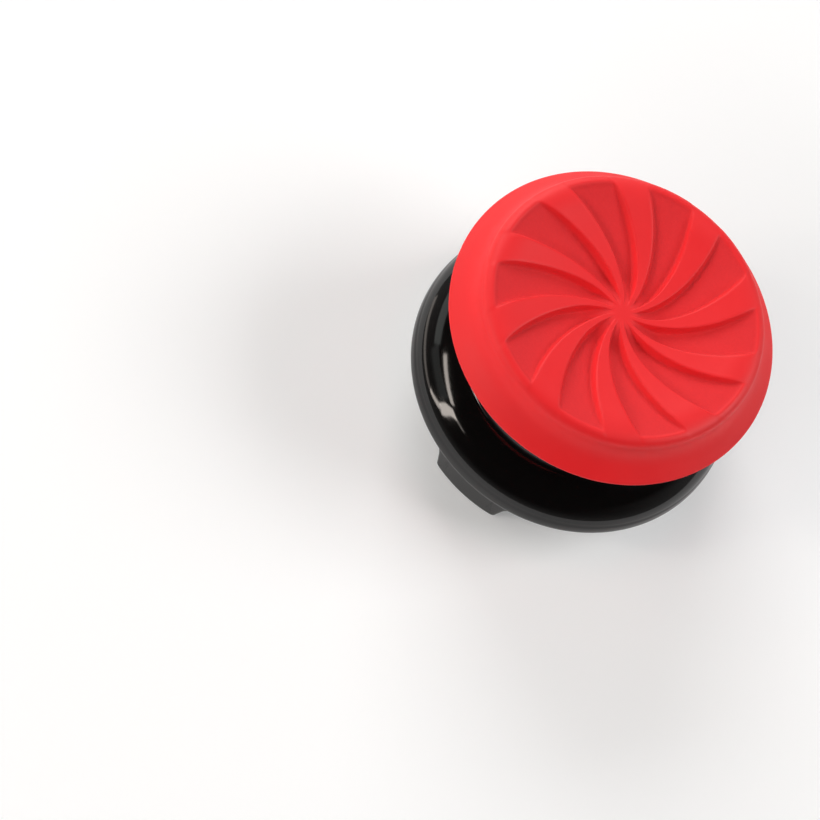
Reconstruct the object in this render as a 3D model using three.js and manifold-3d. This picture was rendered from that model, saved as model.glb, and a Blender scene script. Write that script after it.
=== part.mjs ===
// Thumb grip for a game controller: a soft rubber cap with a swirl of ten valleys in its
// dished top, moulded over a rigid clip base that snaps round the controller's own stick.
// Millimetres, +Z up. The grip stands on its prong tips at z = 0, on the Z axis.

import * as THREE from 'three';
import { mergeVertices } from 'three/addons/utils/BufferGeometryUtils.js';
import Module from 'manifold-3d';

const wasm = await Module();
wasm.setup();

// Resolution
const turnSegments = 60;
const curveSegments = 5;
const swirlSegments = 10;

// The controller's stick head, which the grip clips round
const stickRadius = 8.6;
const stickThickness = 3.6;
const stickClearance = 0.2;

// Skirt and prongs of the clip base
const skirtWall = 1.1;
const skirtHeight = 1.25;
const prongCount = 4;
const prongDrop = 2.3;
const prongTipWidth = 5.4;
const prongRootWidth = 6.7;
const prongTipRound = 0.45;
const prongRootFillet = 0.8;
const hookReach = 0.45;
const hookLead = 0.3;
const hookLand = 0.3;
const hookRamp = 0.35;
const prongEdgeRound = 0.2;
const seatRise = 0.3;
const seatInset = 0.3;

// Collar and stem of the clip base
const collarOverhang = 1.15;
const collarEdgeRound = 0.5;
const collarCrown = 2.1;
const collarCorner = 0.35;
const riserHeight = 8.1;
const waistHeight = 5.2;
const waistInset = 0.25;
const waistTension = 2.4;
const coreRadius = 5.0;
const coreRoof = 2.2;

// Head disc of the clip base, held inside the rubber
const discThickness = 0.6;
const discOverhang = 1.15;
const overmouldClearance = 0.3;

// Rubber cap, whose rim stands back a little from the collar's widest place
const capRimInset = 0.05;
const capRimRound = 0.22;
const capFlare = 1.5;
const capShoulderHeight = 2.55;
const capShoulderRound = 0.8;
const capCentreHeight = 2.3;
const capDishDepth = 1.05;
const capWall = 0.3;
const lipThickness = 0.6;

// Swirl relief in the dish
const valleyCount = 10;
const valleyDepth = 0.62;
const valleyShoal = 0.27;
const valleyRamp = 3.0;
const valleyInnerShare = 0.49;
const valleyOuterShare = 0.55;
const valleyOverrun = 1.5;
const hubRadius = 0.7;
const swirlSweep = THREE.MathUtils.degToRad(44.8);
const swirlPower = 0.6;
const swirlPhase = THREE.MathUtils.degToRad(37.2);

// Heights that follow from the sizes above
const skirtZ = prongDrop;
const collarEdgeZ = skirtZ + skirtHeight;
const collarZ = collarEdgeZ + collarEdgeRound;
const capRimZ = collarZ + riserHeight;
const discZ = capRimZ + lipThickness;
const discTopZ = discZ + discThickness;
const capShoulderZ = capRimZ + capShoulderHeight;
const capCentreZ = capRimZ + capCentreHeight;
const crestZ = capCentreZ + capDishDepth;
const hookTopZ = hookLead + hookLand + hookRamp;
const seatZ = hookTopZ + stickThickness + stickClearance;
const coreTopZ = discTopZ - coreRoof;

// Radii that follow from the sizes above
const cupRadius = stickRadius + stickClearance;
const skirtRadius = cupRadius + skirtWall;
const hookRadius = cupRadius - hookReach;
const seatRadius = hookRadius - seatInset;
const collarRadius = skirtRadius + collarOverhang;
const capRimRadius = collarRadius - capRimInset;
const shoulderRadius = capRimRadius - capFlare;
const crestRadius = shoulderRadius - capShoulderRound;
const cavityRadius = shoulderRadius - capWall;
const discRadius = cavityRadius - overmouldClearance;
const stemRadius = discRadius - discOverhang;
const lipRadius = stemRadius + overmouldClearance;
const waistRadius = stemRadius - waistInset;

// A closed mesh as a solid that can be joined and cut
function solid(geometry) {
  const bare = geometry.clone();
  bare.deleteAttribute('normal');
  bare.deleteAttribute('uv');
  const merged = mergeVertices(bare);
  const corners = merged.index.array;
  const triangles = [];
  for (let i = 0; i < corners.length; i += 3) {
    const [a, b, c] = corners.slice(i, i + 3);
    if (a !== b && b !== c && c !== a) triangles.push(a, b, c);
  }
  return new wasm.Manifold(new wasm.Mesh({
    numProp: 3,
    vertProperties: merged.attributes.position.array,
    triVerts: new Uint32Array(triangles),
  }));
}

// A profile of (radius, height) points turned about the Z axis
function turned(profile) {
  const lathe = new THREE.LatheGeometry(profile.getPoints(curveSegments), turnSegments);
  return solid(lathe.rotateX(Math.PI / 2));
}

// An outline in the XY plane, raised from one height to another
function raised(outline, bottom, top) {
  const prism = new THREE.ExtrudeGeometry(outline, { depth: top - bottom, bevelEnabled: false });
  return solid(prism.translate(0, 0, bottom));
}

// A finished solid as a named, coloured piece
function piece(name, body, material) {
  const { numProp, vertProperties, triVerts } = body.getMesh();
  const geometry = new THREE.BufferGeometry();
  geometry.setAttribute('position', new THREE.BufferAttribute(vertProperties, numProp));
  geometry.setIndex(new THREE.BufferAttribute(triVerts, 1));
  geometry.computeVertexNormals();
  const mesh = new THREE.Mesh(geometry, material);
  mesh.name = name;
  return mesh;
}

// Clip base without its prongs: cored stem, cup for the stick, skirt, collar, waist and disc
function baseBody() {
  const profile = new THREE.Path();
  profile.moveTo(0, coreTopZ);
  profile.lineTo(coreRadius, coreTopZ);
  profile.lineTo(coreRadius, seatZ);
  profile.lineTo(seatRadius, seatZ);
  profile.lineTo(seatRadius, seatZ + seatRise);
  profile.lineTo(cupRadius, seatZ + seatRise);
  profile.lineTo(cupRadius, skirtZ);
  profile.lineTo(skirtRadius, skirtZ);
  profile.lineTo(skirtRadius, collarEdgeZ - collarCorner);
  profile.quadraticCurveTo(skirtRadius, collarEdgeZ, skirtRadius + collarCorner, collarEdgeZ);
  profile.lineTo(collarRadius - collarEdgeRound, collarEdgeZ);
  profile.quadraticCurveTo(collarRadius, collarEdgeZ, collarRadius, collarZ);
  profile.bezierCurveTo(
    collarRadius, collarZ + collarCrown,
    waistRadius, collarZ + waistHeight - waistTension,
    waistRadius, collarZ + waistHeight,
  );
  profile.quadraticCurveTo(waistRadius, capRimZ, stemRadius, discZ);
  profile.lineTo(discRadius, discZ);
  profile.lineTo(discRadius, discTopZ);
  profile.lineTo(0, discTopZ);
  return turned(profile);
}

// Ring that the prongs are cut from, with the inward hook at its lower edge
function prongRing() {
  const profile = new THREE.Path();
  profile.moveTo(cupRadius, skirtZ + prongEdgeRound);
  profile.lineTo(cupRadius, hookTopZ);
  profile.lineTo(hookRadius, hookLead + hookLand);
  profile.lineTo(hookRadius, hookLead);
  profile.lineTo(cupRadius, 0);
  profile.lineTo(skirtRadius - prongEdgeRound, 0);
  profile.quadraticCurveTo(skirtRadius, 0, skirtRadius, prongEdgeRound);
  profile.lineTo(skirtRadius, skirtZ + prongEdgeRound);
  profile.closePath();
  return turned(profile);
}

// One prong's front outline: round tip corners and a fillet into the skirt at each side
function prongOutline() {
  const tip = prongTipWidth / 2;
  const root = prongRootWidth / 2;
  const outline = new THREE.Shape();
  outline.moveTo(-tip + prongTipRound, 0);
  outline.lineTo(tip - prongTipRound, 0);
  outline.quadraticCurveTo(tip, 0, tip, prongTipRound);
  outline.lineTo(root - prongRootFillet / 2, skirtZ - prongRootFillet);
  outline.quadraticCurveTo(root, skirtZ, root + prongRootFillet, skirtZ);
  outline.lineTo(root + prongRootFillet, skirtZ + prongEdgeRound);
  outline.lineTo(-root - prongRootFillet, skirtZ + prongEdgeRound);
  outline.lineTo(-root - prongRootFillet, skirtZ);
  outline.quadraticCurveTo(-root, skirtZ, -root + prongRootFillet / 2, skirtZ - prongRootFillet);
  outline.lineTo(-tip, prongTipRound);
  outline.quadraticCurveTo(-tip, 0, -tip + prongTipRound, 0);
  return outline;
}

// All the prongs, the first of them facing -Y
function prongs() {
  const reach = skirtRadius + skirtWall;
  const front = raised(prongOutline(), 0, reach).rotate([90, 0, 0]);
  const ring = prongRing();
  let all = null;
  for (let i = 0; i < prongCount; i += 1) {
    const prong = ring.intersect(front.rotate([0, 0, (i * 360) / prongCount]));
    all = all ? all.add(prong) : prong;
  }
  return all;
}

// Height of the dish at a distance from the axis
function dishZ(radius) {
  return capCentreZ + capDishDepth * (radius / crestRadius) ** 2;
}

// Height of a valley's floor: it drops away from the hub and shoals towards the crest
function valleyZ(radius) {
  const full = valleyDepth - valleyShoal * (radius / crestRadius) ** 2;
  return dishZ(radius) - full * THREE.MathUtils.smoothstep(radius, hubRadius, hubRadius + valleyRamp);
}

// Rubber cap before its relief is cut, with the lip that holds it under the disc
function capBody() {
  const profile = new THREE.Path();
  profile.moveTo(0, discTopZ);
  profile.lineTo(cavityRadius, discTopZ);
  profile.lineTo(cavityRadius, discZ);
  profile.lineTo(lipRadius, discZ);
  profile.lineTo(lipRadius, capRimZ);
  profile.lineTo(capRimRadius - capRimRound, capRimZ);
  profile.quadraticCurveTo(capRimRadius, capRimZ, capRimRadius, capRimZ + capRimRound);
  profile.bezierCurveTo(
    capRimRadius - capFlare / 2, capRimZ + capShoulderHeight / 3,
    shoulderRadius, capRimZ + capShoulderHeight / 2,
    shoulderRadius, capShoulderZ,
  );
  profile.quadraticCurveTo(shoulderRadius, crestZ, crestRadius, crestZ);
  profile.quadraticCurveTo(crestRadius / 2, capCentreZ, 0, capCentreZ);
  return turned(profile);
}

// How far the swirl has turned at a distance from the axis, back from its outer end
function swirlAngle(radius) {
  return -swirlSweep * (1 - (radius / crestRadius) ** swirlPower);
}

// Plan of one valley between its two curved walls
function valleyOutline(phase) {
  const pitch = (2 * Math.PI) / valleyCount;
  const reach = crestRadius + valleyOverrun;
  const sides = [[], []];
  for (let i = 0; i <= swirlSegments; i += 1) {
    const radius = hubRadius + (reach - hubRadius) * (i / swirlSegments);
    const share = THREE.MathUtils.lerp(valleyInnerShare, valleyOuterShare, i / swirlSegments);
    const middle = phase + swirlAngle(radius);
    sides.forEach((side, n) => {
      const angle = middle + (n - 0.5) * share * pitch;
      side.push(new THREE.Vector2(radius * Math.cos(angle), radius * Math.sin(angle)));
    });
  }
  return new THREE.Shape([...sides[0], ...sides[1].reverse()]);
}

// Everything above the valleys' floor, out past the cap's edge
function aboveValleys() {
  const clear = crestZ + valleyDepth;
  const reach = crestRadius + valleyOverrun;
  const profile = new THREE.Path();
  profile.moveTo(hubRadius, clear);
  for (let i = 0; i <= swirlSegments; i += 1) {
    const radius = hubRadius + (reach - hubRadius) * (i / swirlSegments);
    profile.lineTo(radius, valleyZ(radius));
  }
  profile.lineTo(reach, clear);
  profile.closePath();
  return turned(profile);
}

// Rubber cap with its swirl of valleys
function capWithSwirl() {
  const space = aboveValleys();
  let cap = capBody();
  for (let i = 0; i < valleyCount; i += 1) {
    const phase = swirlPhase + (i * 2 * Math.PI) / valleyCount;
    const plan = raised(valleyOutline(phase), discTopZ, crestZ + 2 * valleyDepth);
    cap = cap.subtract(plan.intersect(space));
  }
  return cap;
}

const redRubber = new THREE.MeshStandardMaterial({
  color: '#ee3338',
  roughness: 0.55,
  metalness: 0,
});

const blackPlastic = new THREE.MeshStandardMaterial({
  color: '#0d0b0b',
  roughness: 0.12,
  metalness: 0,
});

const group = new THREE.Group();
group.add(piece('clip_base', baseBody().add(prongs()), blackPlastic));
group.add(piece('rubber_cap', capWithSwirl(), redRubber));

export default group;
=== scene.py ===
# %% [markdown]
# # Thumb grip for a game controller
#
# The real object is a small round grip that snaps over the stick of a game controller.
# It has two parts that never come apart: a soft red rubber cap with a swirl of ten sunken
# valleys, and a hard black plastic base with four prongs. The CAD model sets every size.
# This script dresses it: finer meshes for the two parts, their materials, and a small
# photo studio around them. All lengths below are in millimetres until they reach a mesh.

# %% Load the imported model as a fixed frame
import math

import bmesh
import bpy
from mathutils import Matrix, Vector
from mathutils.geometry import interpolate_bezier


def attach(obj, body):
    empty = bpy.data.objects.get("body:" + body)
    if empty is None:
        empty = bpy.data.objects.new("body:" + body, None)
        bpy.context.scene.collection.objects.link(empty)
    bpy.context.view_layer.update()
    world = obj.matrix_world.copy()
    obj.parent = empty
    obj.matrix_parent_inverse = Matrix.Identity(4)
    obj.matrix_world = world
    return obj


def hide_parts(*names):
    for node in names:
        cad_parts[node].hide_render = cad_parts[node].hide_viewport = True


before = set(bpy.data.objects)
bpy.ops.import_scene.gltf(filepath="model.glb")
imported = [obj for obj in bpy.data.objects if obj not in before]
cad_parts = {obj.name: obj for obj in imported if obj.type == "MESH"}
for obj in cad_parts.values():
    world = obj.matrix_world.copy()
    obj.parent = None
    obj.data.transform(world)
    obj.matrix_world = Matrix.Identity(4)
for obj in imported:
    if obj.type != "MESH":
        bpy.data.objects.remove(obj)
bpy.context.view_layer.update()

MM = 0.001

# %% [markdown]
# ## Camera
#
# The photograph looks down on the grip from a steep angle, with a long lens, and the
# picture is rolled so that the grip leans to the right. A camera that tracks an empty
# could do most of this, but not put the grip off the picture's middle without a shift.
# So the turn is built up from plain rotations: azimuth, tilt, roll, and a last small turn
# that moves the aim from the picture's middle to where the cap's rim is centred.

# %% Camera
PICTURE = 820
SENSOR = 36.0
focal_pixels = 4651.08
camera_distance = 300.0
camera_azimuth = math.radians(4.5)
camera_tilt = math.radians(30.714)
camera_roll = math.radians(39.087)
rim_height = 12.15
rim_pixel = (611.15, 327.415)

turn = (
    Matrix.Rotation(camera_azimuth, 3, "Z")
    @ Matrix.Rotation(camera_tilt, 3, "X")
    @ Matrix.Rotation(camera_roll, 3, "Z")
)
aim = Vector((
    (rim_pixel[0] - PICTURE / 2) / focal_pixels,
    -(rim_pixel[1] - PICTURE / 2) / focal_pixels,
    -1.0,
))
off_centre = Vector((0, 0, -1)).rotation_difference(aim).to_matrix()
place = Vector((0, 0, rim_height)) + turn @ Vector((0, 0, camera_distance))

camera_data = bpy.data.cameras.new("photo_camera")
camera_data.sensor_width = SENSOR
camera_data.lens = focal_pixels * SENSOR / PICTURE
camera_data.clip_start = 0.01
camera_data.clip_end = 10.0
camera = bpy.data.objects.new("photo_camera", camera_data)
camera.matrix_world = Matrix.Translation(place * MM) @ (turn @ off_centre.inverted()).to_4x4()
bpy.context.scene.collection.objects.link(camera)
bpy.context.scene.camera = camera
print("Lens, mm:", round(camera_data.lens, 1), "camera at, mm:", [round(c) for c in place])

# %% [markdown]
# ## Helpers for colours and nodes
#
# Colours are written as the sRGB hex values that a picture editor shows. Blender's
# shaders count in linear light, so one function turns them over. A second function adds
# any node with its settings and links, which keeps each material readable.

# %% Helpers for colours and nodes
def linear(hex_colour):
    """An sRGB hex colour as linear red, green, blue and an alpha of one."""
    parts = [int(hex_colour[i : i + 2], 16) / 255 for i in (1, 3, 5)]
    return (*[c / 12.92 if c <= 0.04045 else ((c + 0.055) / 1.055) ** 2.4 for c in parts], 1.0)


def add_node(tree, kind, settings=(), links=()):
    """Adds a node. settings are (property or input, value), links are (input, output socket)."""
    node = tree.nodes.new(kind)
    for name, value in dict(settings).items():
        if isinstance(name, str) and hasattr(node, name):
            setattr(node, name, value)
        else:
            node.inputs[name].default_value = value
    for name, socket in dict(links).items():
        tree.links.new(socket, node.inputs[name])
    return node


def new_material(name):
    """An empty node material with its output node."""
    material = bpy.data.materials.new(name)
    material.use_nodes = True
    material.node_tree.nodes.clear()
    return material, material.node_tree, material.node_tree.nodes.new("ShaderNodeOutputMaterial")


# %% [markdown]
# ## Floor
#
# The photograph has a pure white ground. A brighter lamp could burn the floor out to
# white, but it would burn the grip out too. Instead the floor is a pale matt paint that
# also glows a little, and only for the rays that look at it: from the camera, in a
# mirror or through glass. The grip's soft shadow stays in the paint.

# %% Floor
FLOOR_SIDE = 1400.0
FLOOR_GLOW = 0.20
FLOOR_PAINT = "#ebebeb"

floor_material, tree, output = new_material("matt_white_floor_paint")
paint = add_node(tree, "ShaderNodeBsdfDiffuse", {"Color": linear(FLOOR_PAINT)})
path = add_node(tree, "ShaderNodeLightPath")
looked_at = add_node(tree, "ShaderNodeMath", {"operation": "MAXIMUM"},
                     {0: path.outputs["Is Camera Ray"], 1: path.outputs["Is Glossy Ray"]})
looked_at = add_node(tree, "ShaderNodeMath", {"operation": "MAXIMUM"},
                     {0: looked_at.outputs[0], 1: path.outputs["Is Transmission Ray"]})
strength = add_node(tree, "ShaderNodeMath", {"operation": "MULTIPLY", 1: FLOOR_GLOW},
                    {0: looked_at.outputs[0]})
glow = add_node(tree, "ShaderNodeEmission", {}, {"Strength": strength.outputs[0]})
both = add_node(tree, "ShaderNodeAddShader", {}, {0: paint.outputs[0], 1: glow.outputs[0]})
tree.links.new(both.outputs[0], output.inputs["Surface"])

mesh = bpy.data.meshes.new("floor")
shape = bmesh.new()
bmesh.ops.create_grid(shape, x_segments=1, y_segments=1, size=FLOOR_SIDE / 2 * MM)
shape.to_mesh(mesh)
shape.free()
mesh.materials.append(floor_material)
floor = bpy.data.objects.new("floor", mesh)
bpy.context.scene.collection.objects.link(floor)
print("Floor, m:", FLOOR_SIDE * MM, "across")

# %% [markdown]
# ## Room
#
# The glossy black plastic is a mirror for the whole room. In the photograph it shows a
# grey band near the horizon and deep black above it, so the room here is a colour ramp
# over height: grey at the horizon and dark overhead. The camera sees the same room as the
# plastic mirrors. The picture's white ground comes from the floor alone.

# %% Room
HORIZON_GREY = (0.21, 0.205, 0.20, 1.0)
OVERHEAD_BLACK = (0.005, 0.005, 0.005, 1.0)
GREY_UP_TO = 0.10    # Heights on a ball round the grip: 0 is the horizon, 1 straight up
BLACK_FROM = 0.42

world = bpy.data.worlds.new("studio_room")
bpy.context.scene.world = world
world.use_nodes = True
tree = world.node_tree
tree.nodes.clear()
direction = add_node(tree, "ShaderNodeTexCoord")
height = add_node(tree, "ShaderNodeSeparateXYZ", {}, {0: direction.outputs["Generated"]})
ramp = add_node(tree, "ShaderNodeValToRGB", {}, {0: height.outputs["Z"]})
low, high = ramp.color_ramp.elements
low.position, low.color = GREY_UP_TO, HORIZON_GREY
high.position, high.color = BLACK_FROM, OVERHEAD_BLACK
background = add_node(tree, "ShaderNodeBackground", {}, {"Color": ramp.outputs["Color"]})
output = add_node(tree, "ShaderNodeOutputWorld", {}, {"Surface": background.outputs[0]})
bpy.context.scene.view_settings.view_transform = "Standard"

# %% [markdown]
# ## Lamps
#
# The rubber needs wide soft light, or its satin skin would look like paint. Two big
# softboxes stand behind the grip at the left and at the right: they light the dished top,
# leave the near walls of the valleys in shade, and so draw the swirl. Two fills lift the
# left and the near flank, and the black base doesn't mirror them. The streaks on the base
# are the mirror image of a window at the left: a dim pane with bright edges, which the
# round collar squeezes into a bright corner with two legs. A lamp is placed by the
# direction that it shines from, as azimuth and elevation seen from the grip.

# %% Lamps
LAMP_DISTANCE = 600.0


def towards(azimuth, elevation):
    """Unit vector towards a place in the room; azimuth 0 is the near side and 90 the right."""
    a, e = math.radians(azimuth), math.radians(elevation)
    return Vector((math.sin(a) * math.cos(e), -math.cos(a) * math.cos(e), math.sin(e)))


def softbox(name, start, end, width, radiance, colour="#ffffff", mirrored=True):
    """A soft lamp, as wide as width, stretched between two directions and facing the grip."""
    a = towards(*start) * LAMP_DISTANCE
    b = towards(*end) * LAMP_DISTANCE
    middle, along = (a + b) / 2, (b - a)
    data = bpy.data.lights.new(name, "AREA")
    data.shape = "RECTANGLE"
    data.size = along.length * MM
    data.size_y = width * MM
    data.energy = radiance * math.pi * data.size * data.size_y
    data.color = linear(colour)[:3]
    lamp = bpy.data.objects.new(name, data)
    back = middle.normalized()
    x = (along - back * along.dot(back)).normalized()
    axes = Matrix((x, back.cross(x), back)).transposed()
    lamp.matrix_world = Matrix.Translation(middle * MM) @ axes.to_4x4()
    lamp.visible_glossy = mirrored
    bpy.context.scene.collection.objects.link(lamp)
    print(name, "mm:", round(along.length), "x", round(width), "radiance", radiance)


WINDOW_LIGHT = "#eef4f0"
WARM_EDGE = "#fff4ea"

softbox("back_left_softbox", (-150, 30), (-110, 34), 260.0, 6.0)
softbox("back_right_softbox", (106, 41), (150, 41), 260.0, 6.3)
softbox("left_fill", (-125, 14), (-90, 14), 120.0, 2.1, mirrored=False)
softbox("near_fill", (-50, 26), (15, 28), 160.0, 3.8, mirrored=False)
softbox("window_panel", (-112, 18), (-78, 26), 130.0, 1.1, WINDOW_LIGHT)
softbox("window_pane", (-77, 24), (-47, 32), 120.0, 0.45, WINDOW_LIGHT)
softbox("window_lower_edge", (-100, 2), (-54, 15), 50.0, 1.9, WARM_EDGE)
softbox("window_lower_corner", (-53, 16), (-43, 24), 40.0, 9.0, WARM_EDGE)
softbox("window_right_edge", (-42, 24), (-37, 38), 70.0, 11.0, WARM_EDGE)
softbox("window_upper_edge", (-76, 40), (-44, 41), 45.0, 9.0, WARM_EDGE)
softbox("window_tail", (-37, 37), (-25, 37), 25.0, 3.0, WARM_EDGE)

# %% [markdown]
# ## Red rubber
#
# The cap is silicone rubber, pressed in a polished steel mould. Rubber shows the mould's
# own finish, so the ribs and the flank came out as a smooth satin skin with a wide, weak
# highlight. The floors of the valleys were spark-eroded in the mould, which leaves a fine
# grain that scatters light. Their red is also painted darker and greyer, as painted shade
# of the recesses. One material holds both, and a value stored on the mesh, called valley,
# blends them.

# %% Red rubber
MOULD_GRAIN = 0.16  # Real spark-eroded grain is about 0.05 mm; three times coarser to show
HANDLING_PATCH = 2.6
SKIN_RIPPLE = 0.5

rubber, tree, output = new_material("pressed_red_silicone_rubber")
place_on = add_node(tree, "ShaderNodeTexCoord").outputs["Object"]
valley = add_node(tree, "ShaderNodeAttribute", {"attribute_name": "valley"}).outputs["Fac"]
patches = add_node(tree, "ShaderNodeTexNoise",
                   {"Scale": 1 / (HANDLING_PATCH * MM), "Detail": 3.0, "Roughness": 0.6},
                   {"Vector": place_on}).outputs["Fac"]
grain = add_node(tree, "ShaderNodeTexNoise",
                 {"Scale": 1 / (MOULD_GRAIN * MM), "Detail": 2.0, "Roughness": 0.7},
                 {"Vector": place_on}).outputs["Fac"]
ripple = add_node(tree, "ShaderNodeTexNoise",
                  {"Scale": 1 / (SKIN_RIPPLE * MM), "Detail": 2.0},
                  {"Vector": place_on}).outputs["Fac"]
skin_colour = add_node(tree, "ShaderNodeMix",
                       {"data_type": "RGBA", 6: linear("#ee2227"), 7: linear("#f4272b")},
                       {0: patches}).outputs[2]
# Painted shade: the valley floors get a darker, greyer red where they lie deep, on top of their
# real grain
grain_and_shade_colour = add_node(tree, "ShaderNodeMix",
                        {"data_type": "RGBA", 6: linear("#de272c"), 7: linear("#ea2c30")},
                        {0: grain}).outputs[2]
colour = add_node(tree, "ShaderNodeMix", {"data_type": "RGBA"},
                  {0: valley, 6: skin_colour, 7: grain_and_shade_colour}).outputs[2]
skin_rough = add_node(tree, "ShaderNodeMapRange", {"To Min": 0.46, "To Max": 0.58},
                      {"Value": patches}).outputs[0]
rough = add_node(tree, "ShaderNodeMix", {"data_type": "FLOAT", 3: 0.82},
                 {0: valley, 2: skin_rough}).outputs[0]
grain_height = add_node(tree, "ShaderNodeMath", {"operation": "MULTIPLY"},
                        {0: grain, 1: valley}).outputs[0]
skin_bump = add_node(tree, "ShaderNodeBump", {"Strength": 0.08, "Distance": 0.02 * MM},
                     {"Height": ripple}).outputs[0]
bump = add_node(tree, "ShaderNodeBump", {"Strength": 0.5, "Distance": 0.03 * MM},
                {"Height": grain_height, "Normal": skin_bump}).outputs[0]
shader = add_node(tree, "ShaderNodeBsdfPrincipled",
                  {"IOR": 1.42, "Subsurface Weight": 0.12, "Subsurface Scale": 0.4 * MM,
                   "Subsurface Radius": (1.0, 0.25, 0.2)},
                  {"Base Color": colour, "Roughness": rough, "Normal": bump})
tree.links.new(shader.outputs[0], output.inputs["Surface"])

# %% [markdown]
# ## Black plastic
#
# The base is ABS, injected into a highly polished mould. Its skin is a deep black that
# has almost no colour of its own, so all that the eye reads is the mirror image of the
# room. A mould is never perfectly flat: a very low ripple bends the streaks a little,
# and a thin haze of handling makes some patches less sharp than others.

# %% Black plastic
MOULD_RIPPLE = 3.5
HAZE_PATCH = 1.2

plastic, tree, output = new_material("polished_black_abs")
place_on = add_node(tree, "ShaderNodeTexCoord").outputs["Object"]
ripple = add_node(tree, "ShaderNodeTexNoise",
                  {"Scale": 1 / (MOULD_RIPPLE * MM), "Detail": 1.0},
                  {"Vector": place_on}).outputs["Fac"]
haze = add_node(tree, "ShaderNodeTexNoise",
                {"Scale": 1 / (HAZE_PATCH * MM), "Detail": 4.0, "Roughness": 0.65},
                {"Vector": place_on}).outputs["Fac"]
colour = add_node(tree, "ShaderNodeMix",
                  {"data_type": "RGBA", 6: linear("#080707"), 7: linear("#0e0c0c")},
                  {0: haze}).outputs[2]
rough = add_node(tree, "ShaderNodeMapRange", {"To Min": 0.05, "To Max": 0.12},
                 {"Value": haze}).outputs[0]
bump = add_node(tree, "ShaderNodeBump", {"Strength": 0.25, "Distance": 0.03 * MM},
                {"Height": ripple}).outputs[0]
shader = add_node(tree, "ShaderNodeBsdfPrincipled", {"IOR": 1.5},
                  {"Base Color": colour, "Roughness": rough, "Normal": bump})
tree.links.new(shader.outputs[0], output.inputs["Surface"])

# %% [markdown]
# ## How a round part is made
#
# Both parts are round, so each starts as half a cross-section that is spun about the
# upright axis. A lathe in CAD does the same, only with coarser steps. A spun mesh has
# rows, one for each point of the section, and columns, one for each step of the spin.
# The number of the row is stored in every point before the spin, so that the swirl and
# the prongs can later be shaped row by row and column by column.

# %% Helpers for spinning a section
def bend(start, *rest):
    """Points on a curve with one or two control points; the last item is the step count."""
    *controls, end, steps = rest
    start, end = Vector(start), Vector(end)
    if len(controls) == 1:
        middle = Vector(controls[0])
        controls = [start.lerp(middle, 2 / 3), end.lerp(middle, 2 / 3)]
    first, second = (Vector(c) for c in controls)
    points = interpolate_bezier(start, first, second, end, steps + 1)
    return [(p.x, p.y) for p in points]


def line(start, end, steps):
    """Evenly spaced points on a straight line, both ends included."""
    a, b = Vector(start), Vector(end)
    return [tuple(a.lerp(b, i / steps)) for i in range(steps + 1)]


SAME_POINT = 1e-4  # Points nearer than this are one; curves come back a little rounded


def joined(*runs):
    """Runs of points as one section, without the points that repeat where two runs meet."""
    section = []
    for run in runs:
        for point in run:
            if not section or math.dist(section[-1], point) > SAME_POINT:
                section.append(point)
    return section


def spun(section, columns):
    """A section of (radius, height) points spun into a closed bmesh, and its row layer."""
    shape = bmesh.new()
    row = shape.verts.layers.int.new("row")
    verts = [shape.verts.new((r * MM, 0, z * MM)) for r, z in section]
    for i, vert in enumerate(verts):
        vert[row] = i
    edges = [shape.edges.new(pair) for pair in zip(verts, verts[1:])]
    bmesh.ops.spin(shape, geom=verts + edges, cent=(0, 0, 0), axis=(0, 0, 1),
                   angle=2 * math.pi, steps=columns, use_merge=True)
    bmesh.ops.remove_doubles(shape, verts=shape.verts, dist=1e-8)
    bmesh.ops.recalc_face_normals(shape, faces=shape.faces)
    return shape, row


def column_of(vert, columns):
    """The column that a spun point is in."""
    return round(math.atan2(vert.co.y, vert.co.x) / (2 * math.pi) * columns) % columns


def move_to(vert, radius, angle, z):
    """Puts a point at a radius and height in mm, and at an angle about the axis."""
    vert.co = Vector((radius * math.cos(angle), radius * math.sin(angle), z)) * MM


def finished(shape, name, material, sharp_degrees):
    """The bmesh as a smooth-shaded object at the origin."""
    mesh = bpy.data.meshes.new(name)
    shape.to_mesh(mesh)
    shape.free()
    mesh.materials.append(material)
    mesh.shade_smooth()
    mesh.set_sharp_from_angle(angle=math.radians(sharp_degrees))
    piece = bpy.data.objects.new(name, mesh)
    bpy.context.scene.collection.objects.link(piece)
    triangles = sum(len(p.vertices) - 2 for p in mesh.polygons)
    print(name, "triangles:", triangles)
    return piece


# %% [markdown]
# ## Section of the rubber cap
#
# The rim flares out over the stem and is the cap's widest place. From there a hollow
# curve runs up to a soft shoulder, and inside the crest the top is dished for the thumb.
# The hidden side wraps a disc of the base. The numbers are the CAD model's own, apart from
# the crest: there one curve rolls from the upright flank into the dish, as soft as the
# photograph shows it, and stays a little inside the CAD model's corner.

# %% Section of the rubber cap
RIM_Z = 12.15
RIM_RADIUS = 11.0
RIM_ROUND = 0.22
SHOULDER_RADIUS = 9.5
SHOULDER_Z = 14.7
CREST_RADIUS = 8.7
CREST_Z = 15.5
CREST_ROLL_FROM = 7.4  # From this radius outwards the dish rolls over into the crest
SHOULDER_LIFT = 0.6    # How far the roll keeps upright at the flank, and level in the dish
CREST_REACH = 1.35
CENTRE_Z = 14.45
DISC_Z = 12.75
DISC_TOP_Z = 13.35
CAVITY_RADIUS = 9.2
LIP_RADIUS = 8.05

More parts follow.
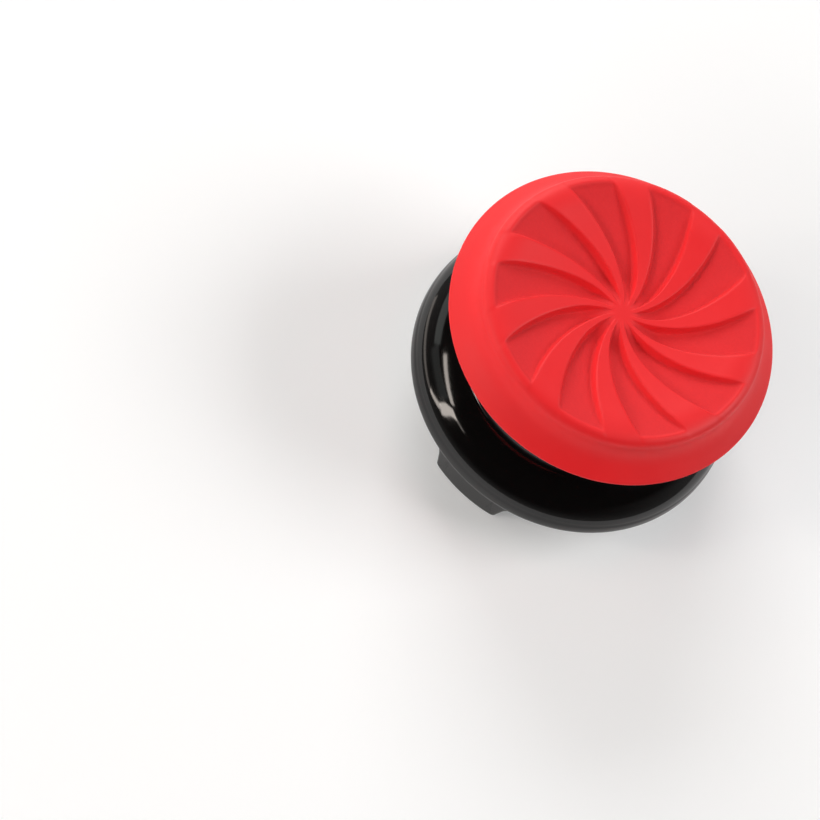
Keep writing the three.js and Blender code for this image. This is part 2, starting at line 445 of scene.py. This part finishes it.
hidden_side = [(0, DISC_TOP_Z), (4.6, DISC_TOP_Z), (CAVITY_RADIUS, DISC_TOP_Z),
               (CAVITY_RADIUS, DISC_Z), (LIP_RADIUS, DISC_Z), (LIP_RADIUS, RIM_Z),
               (9.4, RIM_Z), (10.5, RIM_Z)]
rim_edge = bend((RIM_RADIUS - RIM_ROUND, RIM_Z), (RIM_RADIUS, RIM_Z),
                (RIM_RADIUS, RIM_Z + RIM_ROUND), 6)
flank = bend((RIM_RADIUS, RIM_Z + RIM_ROUND), (10.25, RIM_Z + 0.85),
             (SHOULDER_RADIUS, RIM_Z + 1.275), (SHOULDER_RADIUS, SHOULDER_Z), 26)

def dish_z(radius):
    """Height of the dish at a radius."""
    return CENTRE_Z + (CREST_Z - CENTRE_Z) * (radius / CREST_RADIUS) ** 2


dish_slope = 2 * (CREST_Z - CENTRE_Z) * CREST_ROLL_FROM / CREST_RADIUS**2
roll_end = Vector((CREST_ROLL_FROM, dish_z(CREST_ROLL_FROM)))
roll = bend((SHOULDER_RADIUS, SHOULDER_Z), (SHOULDER_RADIUS, SHOULDER_Z + SHOULDER_LIFT),
            roll_end + CREST_REACH * Vector((1, dish_slope)), roll_end, 30)
dish = bend(roll_end, (CREST_ROLL_FROM / 2, CENTRE_Z), (0, CENTRE_Z), 68)
dish[-1] = (0, CENTRE_Z)  # Exactly on the axis, so that the spun top closes
cap_section = joined(hidden_side, rim_edge, flank, roll, dish)
first_relief_row = len(joined(hidden_side, rim_edge, flank)) - 1
print("Cap section:", len(cap_section), "points, relief from row", first_relief_row)

# %% [markdown]
# ## Swirl
#
# Ten valleys wind out from a small hub. A boolean could cut them, but it would leave
# ragged shading along every wall. Here each row of the spun cap is turned by the swirl's
# own angle, so the columns themselves run along the walls. Then the columns in a valley
# sink to its floor. Seven columns lie close together on each wall, with a little draft,
# a soft top edge and a soft foot, as a rubber moulding has. Towards the crest the floors
# rise until they meet the skin.

# %% Swirl: where each column lies
VALLEYS = 10
VALLEY_DEPTH = 0.62
VALLEY_SHOAL = 0.27
VALLEY_RAMP = 2.4
INNER_SHARE = 0.49
OUTER_SHARE = 0.55
SHARE_FROM = 0.7
SHARE_REACH = 10.2
HUB_RADIUS = 0.4
SWEEP = math.radians(44.8)
SWEEP_POWER = 0.6
PHASE = math.radians(37.2)
WALL_WIDTH = 0.3
WALL_IN_BACK = 0.12  # The first wall of each valley stands this much further back
VALLEY_END = 9.6  # The floors rise over the last millimetre before this radius
VALLEY_FADE = 1.0
GRAIN_AND_SHADE_DEPTH = 0.12  # A floor wears its full grain and its full painted shade once it lies this deep
RUN_OUT_ROUND = 0.08

WALL_STEPS = 7
RIB_STEPS = 5
FLOOR_STEPS = 12
pitch = 2 * math.pi / VALLEYS

# Each column of one pitch, as the stretch that it is in and how far along it lies
stations = [("rib_before", i / RIB_STEPS) for i in range(RIB_STEPS)]
stations += [("wall_in", i / WALL_STEPS) for i in range(WALL_STEPS)]
stations += [("floor", i / FLOOR_STEPS) for i in range(FLOOR_STEPS)]
stations += [("wall_out", i / WALL_STEPS) for i in range(WALL_STEPS)]
stations += [("rib_after", i / RIB_STEPS) for i in range(RIB_STEPS)]
cap_columns = VALLEYS * len(stations)


def smooth(t):
    """Eases from 0 to 1."""
    t = min(max(t, 0.0), 1.0)
    return t * t * (3 - 2 * t)


def column_angle(column, radius):
    """Angle of a column at a radius, and how far it has sunk towards the valley floor."""
    valley, station = divmod(column, len(stations))
    stretch, along = stations[station]
    share = INNER_SHARE + (OUTER_SHARE - INNER_SHARE) * (
        (radius - SHARE_FROM) / (SHARE_REACH - SHARE_FROM))
    half_valley = share * pitch / 2
    half_wall = min(WALL_WIDTH / 2 / max(radius, 0.1), 0.3 * half_valley)
    top, foot = half_valley + half_wall, half_valley - half_wall
    back = WALL_IN_BACK / max(radius, 1.0) * smooth(radius / 3)
    ends = {
        "rib_before": (-pitch / 2, -top - back, 0.0, 0.0),
        "wall_in": (-top - back, -foot - back, 0.0, 1.0),
        "floor": (-foot - back, foot, 1.0, 1.0),
        "wall_out": (foot, top, 1.0, 0.0),
        "rib_after": (top, pitch / 2, 0.0, 0.0),
    }[stretch]
    swirl = -SWEEP * (1 - (radius / CREST_RADIUS) ** SWEEP_POWER)
    angle = PHASE + swirl + valley * pitch + ends[0] + (ends[1] - ends[0]) * along
    return angle, ends[2] + (ends[3] - ends[2]) * smooth(along)


def floor_z(radius, surface_z):
    """Height of a valley's floor, which runs out softly through the shoulder."""
    full = VALLEY_DEPTH - VALLEY_SHOAL * (radius / CREST_RADIUS) ** 2
    sinks_in = smooth((radius - HUB_RADIUS) / VALLEY_RAMP)
    runs_out = smooth((VALLEY_END - radius) / VALLEY_FADE)
    bottom = dish_z(radius) - full * (sinks_in * runs_out)
    gap = surface_z - bottom
    return surface_z - (gap + math.hypot(gap, RUN_OUT_ROUND) - RUN_OUT_ROUND) / 2


print("Columns round the cap:", cap_columns)

# %% Swirl: shape the spun cap
cap_shape, row = spun(cap_section, cap_columns)
sunk_by = cap_shape.verts.layers.float.new("valley")
for vert in cap_shape.verts:
    r, z = cap_section[vert[row]]
    if r < 0.001:
        continue
    in_relief = vert[row] >= first_relief_row
    angle, sunk = column_angle(column_of(vert, cap_columns), r if in_relief else SHOULDER_RADIUS)
    bottom = floor_z(r, z) if in_relief else z
    move_to(vert, r, angle, z + (bottom - z) * sunk)
    # The valley value sets the floors' grain and their painted shade, which is fuller where they
    # lie deeper
    vert[sunk_by] = sunk * smooth((z - bottom) / GRAIN_AND_SHADE_DEPTH)

bmesh.ops.recalc_face_normals(cap_shape, faces=cap_shape.faces)
cap = finished(cap_shape, "swirl_cap", rubber, 60)
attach(cap, "root")
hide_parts("rubber_cap")

# %% [markdown]
# ## Section of the clip base
#
# The base is one moulding. Its section starts inside at the cored stem, runs down the cup
# that takes the stick's head, round the skirt's lower edge, and up over the fat collar
# and the waist to the disc that the rubber holds. Just above its widest place the collar
# has a faint crease, perhaps where the mould halves meet: it shows as a thin dark line
# between two paler ones. The rows near the lower edge are only placed roughly here,
# because the next step draws the prongs with them.

# %% Section of the clip base
STEM_CORE_RADIUS = 5.0
CORE_TOP_Z = 11.15
SEAT_Z = 4.75
SEAT_RISE = 0.3
SEAT_RADIUS = 8.05
CUP_RADIUS = 8.8
HOOK_RADIUS = 8.35
SKIRT_RADIUS = 9.9
SKIRT_Z = 2.3
COLLAR_EDGE_Z = 3.7
COLLAR_CORNER = 0.35
COLLAR_RADIUS = 11.049  # The CAD model's 11.05, kept a hair inside its box
COLLAR_Z = 4.05
COLLAR_ROUND = 0.5
CREASE_RADIUS = 10.9
CREASE_Z = 4.69
SHOULDER_EDGE = (10.88, 4.82)  # Where the collar's round upper side starts
SHOULDER_MIDDLE = (10.05, 5.873)
SHOULDER_TOP = (8.419, 6.873)
WAIST_START = (7.869, 7.989)  # From here up the waist is the CAD model's own curve
WAIST_RADIUS = 7.5
WAIST_Z = 9.25
STEM_RADIUS = 7.75
DISC_RADIUS = 8.9
EDGE_ROUND = 0.2

corner_z = COLLAR_EDGE_Z - COLLAR_CORNER
inside = joined(
    [(0, CORE_TOP_Z)], line((0.3, CORE_TOP_Z), (STEM_CORE_RADIUS, CORE_TOP_Z), 2),
    line((STEM_CORE_RADIUS, CORE_TOP_Z), (STEM_CORE_RADIUS, SEAT_Z), 2),
    line((STEM_CORE_RADIUS, SEAT_Z), (SEAT_RADIUS, SEAT_Z), 2),
    [(SEAT_RADIUS, SEAT_Z + SEAT_RISE), (CUP_RADIUS, SEAT_Z + SEAT_RISE)],
    [(CUP_RADIUS, corner_z)],
)
OUTER_FACE_FROM = CUP_RADIUS + 0.6
# Rows of the lower edge: (radius, how far up from the drawn outline), inside to outside
INNER_ROWS = [2.6, 2.2, 1.8, 1.4, 1.1, 0.95, 0.78, 0.6, 0.45, 0.3, 0.2, 0.1, 0.0]
EDGE_ROWS = [(SKIRT_RADIUS - EDGE_ROUND * (1 - math.sin(t)), EDGE_ROUND * (1 - math.cos(t)))
             for t in (math.radians(15 * i) for i in range(7))]
OUTER_ROWS = [0.3, 0.5, 0.8, 1.2, 1.7, 2.2, 2.7]
lower_edge = ([(CUP_RADIUS, up) for up in INNER_ROWS] + [(SKIRT_RADIUS - 0.6, 0.0)]
              + EDGE_ROWS + [(SKIRT_RADIUS, up) for up in OUTER_ROWS])
collar = joined(
    [(SKIRT_RADIUS, corner_z)],
    bend((SKIRT_RADIUS, corner_z), (SKIRT_RADIUS, COLLAR_EDGE_Z),
         (SKIRT_RADIUS + COLLAR_CORNER, COLLAR_EDGE_Z), 6),
    [(COLLAR_RADIUS - COLLAR_ROUND, COLLAR_EDGE_Z)],
    bend((COLLAR_RADIUS - COLLAR_ROUND, COLLAR_EDGE_Z), (COLLAR_RADIUS, COLLAR_EDGE_Z),
         (COLLAR_RADIUS, COLLAR_Z), 8),
    bend((COLLAR_RADIUS, COLLAR_Z), (COLLAR_RADIUS, 4.3), (10.965, 4.6), 5),
    [(CREASE_RADIUS, CREASE_Z)],
    bend(SHOULDER_EDGE, (10.75, 5.18), (10.615, 5.35), SHOULDER_MIDDLE, 26),
    bend(SHOULDER_MIDDLE, (9.52, 6.365), SHOULDER_TOP, 20),
    bend(SHOULDER_TOP, (8.174, 6.986), (8.026, 7.734), WAIST_START, 10),
    bend(WAIST_START, (7.642, 8.358), (WAIST_RADIUS, 8.77), (WAIST_RADIUS, WAIST_Z), 8),
    bend((WAIST_RADIUS, WAIST_Z), (WAIST_RADIUS, RIM_Z), (STEM_RADIUS, DISC_Z), 8),
    [(DISC_RADIUS, DISC_Z), (DISC_RADIUS, DISC_TOP_Z), (4.6, DISC_TOP_Z), (0, DISC_TOP_Z)],
)
base_section = inside + lower_edge + collar
collar_row = max(range(len(base_section)), key=lambda i: base_section[i][0])
first_edge_row = len(inside)
last_edge_row = len(inside) + len(lower_edge) - 1
print("Base section:", len(base_section), "points, lower edge rows",
      first_edge_row, "to", last_edge_row)

# %% [markdown]
# ## Prongs
#
# Four prongs reach down from the skirt and hook under the stick's head. They could be
# separate blocks joined by a boolean, but then a seam would show where each one leaves
# the skirt. In the real moulding there is none, so here the skirt's own lower edge is
# drawn down: every column slides to its place on a drawn outline with round tip corners
# and a fillet at each side, and the rows above it follow. The outer face of a prong leans
# out a little from the tip to the collar, so that the moulding leaves its mould.

# %% Prongs: outline of the lower edge
PRONGS = 4
TIP_HALF = 2.7
TIP_ROUND = 0.45
ROOT_HALF = 3.35
ROOT_FILLET = 0.8
PRONG_LEAN = 0.25  # How much wider a prong is at the collar than at its tip
LEAN_FROM = 2.9    # Either side of a prong's middle, the lean fades out from here
LEAN_FADE = 1.5
base_columns = 480
prong_turn = 2 * math.pi / PRONGS
eighth = math.pi * SKIRT_RADIUS / PRONGS

outline = joined(
    line((0, 0), (TIP_HALF - TIP_ROUND, 0), 8),
    bend((TIP_HALF - TIP_ROUND, 0), (TIP_HALF, 0), (TIP_HALF, TIP_ROUND), 8),
    line((TIP_HALF, TIP_ROUND), (ROOT_HALF - ROOT_FILLET / 2, SKIRT_Z - ROOT_FILLET), 6),
    bend((ROOT_HALF - ROOT_FILLET / 2, SKIRT_Z - ROOT_FILLET), (ROOT_HALF, SKIRT_Z),
         (ROOT_HALF + ROOT_FILLET, SKIRT_Z), 10),
    line((ROOT_HALF + ROOT_FILLET, SKIRT_Z), (eighth, SKIRT_Z), 8),
)
lengths = [0.0]
for a, b in zip(outline, outline[1:]):
    lengths.append(lengths[-1] + math.dist(a, b))


def on_outline(share):
    """Point on the outline at a share of its length, and the direction into the plastic."""
    wanted = share * lengths[-1]
    i = max(j for j in range(len(outline) - 1) if lengths[j] <= wanted + 1e-9)
    a, b = Vector(outline[i]), Vector(outline[i + 1])
    along = (b - a).normalized()
    point = a + along * (wanted - lengths[i])
    return point, Vector((-along.y, along.x))


def inner_radius(z):
    """Radius of the prong's inner side at a height: the cup, and the hook's ramps."""
    hook = [(0.0, CUP_RADIUS), (0.3, HOOK_RADIUS), (0.6, HOOK_RADIUS), (0.95, CUP_RADIUS)]
    for (z0, r0), (z1, r1) in zip(hook, hook[1:]):
        if z0 <= z <= z1:
            return r0 + (r1 - r0) * (z - z0) / (z1 - z0)
    return CUP_RADIUS


def leaned(side, z):
    """Radius of the outer face: over a prong it leans out from the tip up to the collar."""
    over_prong = 1 - smooth((abs(side) - LEAN_FROM) / LEAN_FADE)
    return SKIRT_RADIUS + PRONG_LEAN * z / COLLAR_EDGE_Z * over_prong


print("Outline of an eighth of the lower edge, mm:", round(lengths[-1], 2))

# %% Prongs: draw the lower edge down
base_shape, row = spun(base_section, base_columns)
per_eighth = base_columns // (2 * PRONGS)
for vert in base_shape.verts:
    if not first_edge_row <= vert[row] <= collar_row:
        continue
    r, up = base_section[vert[row]]
    column = (column_of(vert, base_columns) + per_eighth) % base_columns
    prong, step = divmod(column, 2 * per_eighth)
    side = step - per_eighth
    share = abs(side) / per_eighth
    if vert[row] > last_edge_row:
        angle = (side / per_eighth / 2 + prong) * prong_turn
        move_to(vert, max(r, leaned(share * eighth, up)), angle, up)
        continue
    point, inward = on_outline(share)
    top = Vector((share * eighth, corner_z))
    blend = smooth(up / (corner_z - 0.2))
    near = point + inward * up
    spot = near.lerp(Vector((top.x, point.y + (corner_z - point.y) * up / corner_z)), blend)
    if r == CUP_RADIUS:
        r = inner_radius(spot.y)
    elif r > OUTER_FACE_FROM:
        r += leaned(spot.x, spot.y) - SKIRT_RADIUS
    angle = prong * prong_turn + math.copysign(spot.x, side) / SKIRT_RADIUS
    move_to(vert, r, angle, spot.y)

bmesh.ops.recalc_face_normals(base_shape, faces=base_shape.faces)
base = finished(base_shape, "clip_base_moulding", plastic, 40)
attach(base, "root")
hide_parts("clip_base")

# %% [markdown]
# ## Finish
#
# The view layer is brought up to date. The dressed grip has to stay inside the CAD
# model's box.

# %% Finish
bpy.context.view_layer.update()
